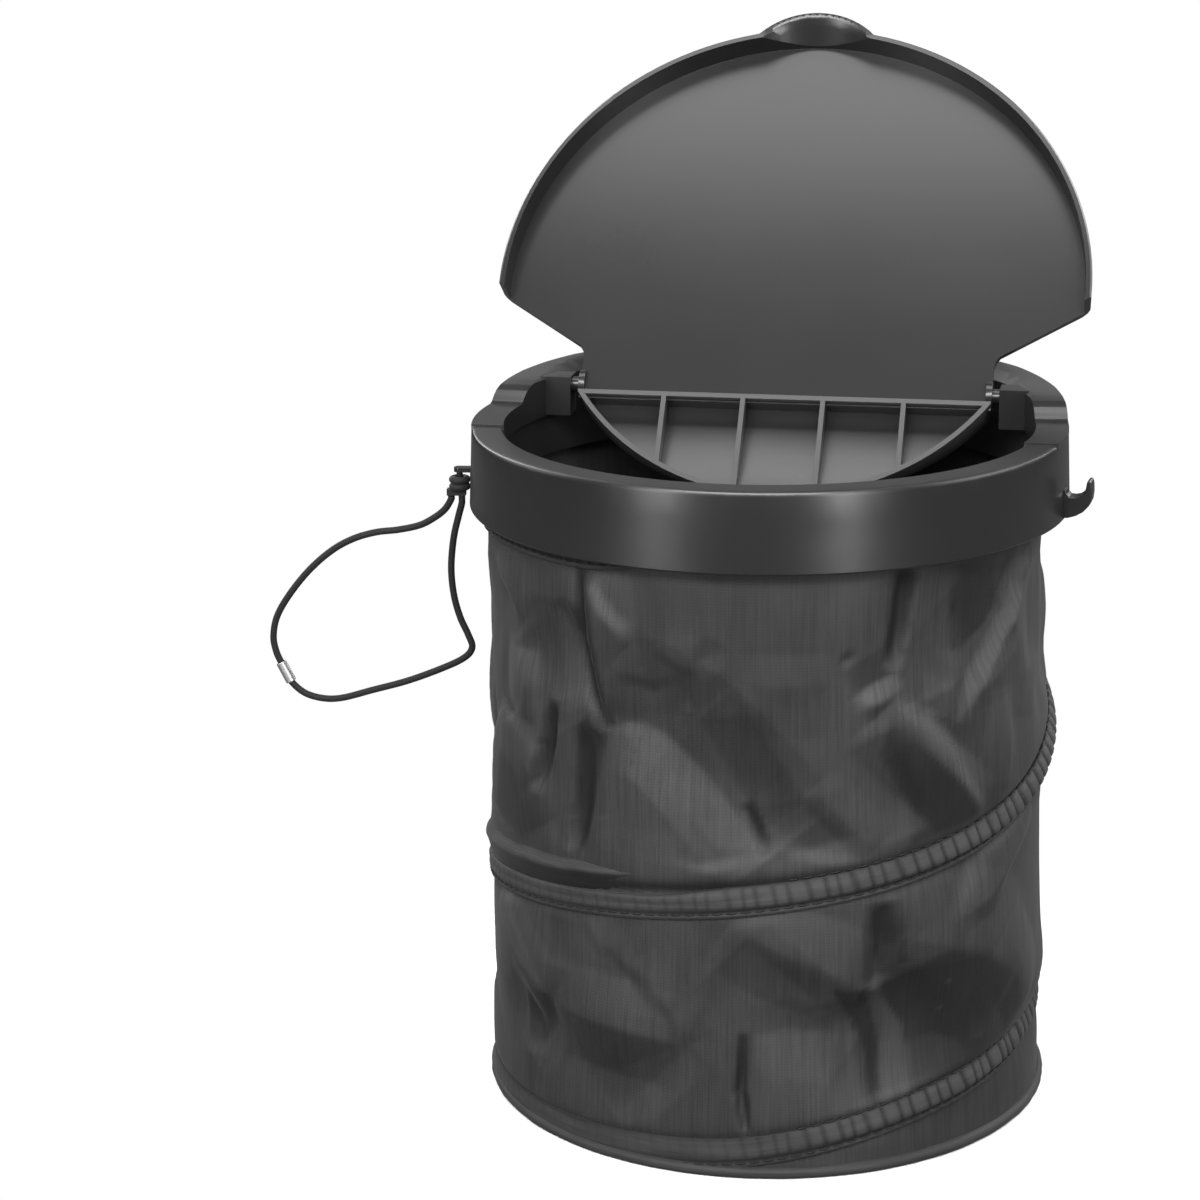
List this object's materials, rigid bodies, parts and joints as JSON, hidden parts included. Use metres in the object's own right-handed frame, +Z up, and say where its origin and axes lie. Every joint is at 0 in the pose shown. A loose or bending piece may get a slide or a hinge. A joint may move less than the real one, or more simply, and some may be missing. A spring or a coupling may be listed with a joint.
{
  "type": "car trash bin",
  "caption": "Pop-up cloth car bin with a spiral wire, a moulded collar, a rocker lid that swings on two pins, a side hook and an elastic hanging loop.",
  "frame": {"origin": "on the floor under the middle of the bag", "axes": "+Z up, -Y the front where the thumb tab of the closed lid is, +X the side with the hook"},
  "size_m": [0.2371, 0.1875, 0.299],
  "materials": {
    "collar_plastic": "satin black moulded plastic",
    "lid_plastic": "satin black moulded plastic",
    "cloth": "coated black woven cloth with a low sheen",
    "spring_steel": "plain spring steel",
    "elastic": "black braided elastic cord",
    "crimp_metal": "plain metal sleeve"
  },
  "bodies": {
    "base": {"bag_floor": "cloth", "base_hoop": "spring_steel", "base_hoop_cover": "cloth", "bag_wall": "cloth", "spiral_channel": "cloth", "spiral_wire": "spring_steel"},
    "collar": {"collar": "collar_plastic", "clamp_ring": "collar_plastic", "side_hook": "collar_plastic", "cord_eye": "collar_plastic", "top_hem": "cloth", "elastic_loop": "elastic", "loop_crimp": "crimp_metal", "loop_knot": "elastic"},
    "lid": {"lid": "lid_plastic"}
  },
  "joints": [
    {"name": "collapse", "type": "slide", "parent": "base", "child": "collar", "axis": [0, 0, 1], "range_m": [-0.15, 0], "stiffness_N_per_m": 30, "springref_m": 0.2, "deforming": ["bag_wall", "spiral_channel", "spiral_wire"]},
    {"name": "lid_swing", "type": "hinge", "parent": "collar", "child": "lid", "pos_m": [0, 0.0305, 0.1965], "axis": [1, 0, 0], "range_deg": [0, 128.5]}
  ]
}
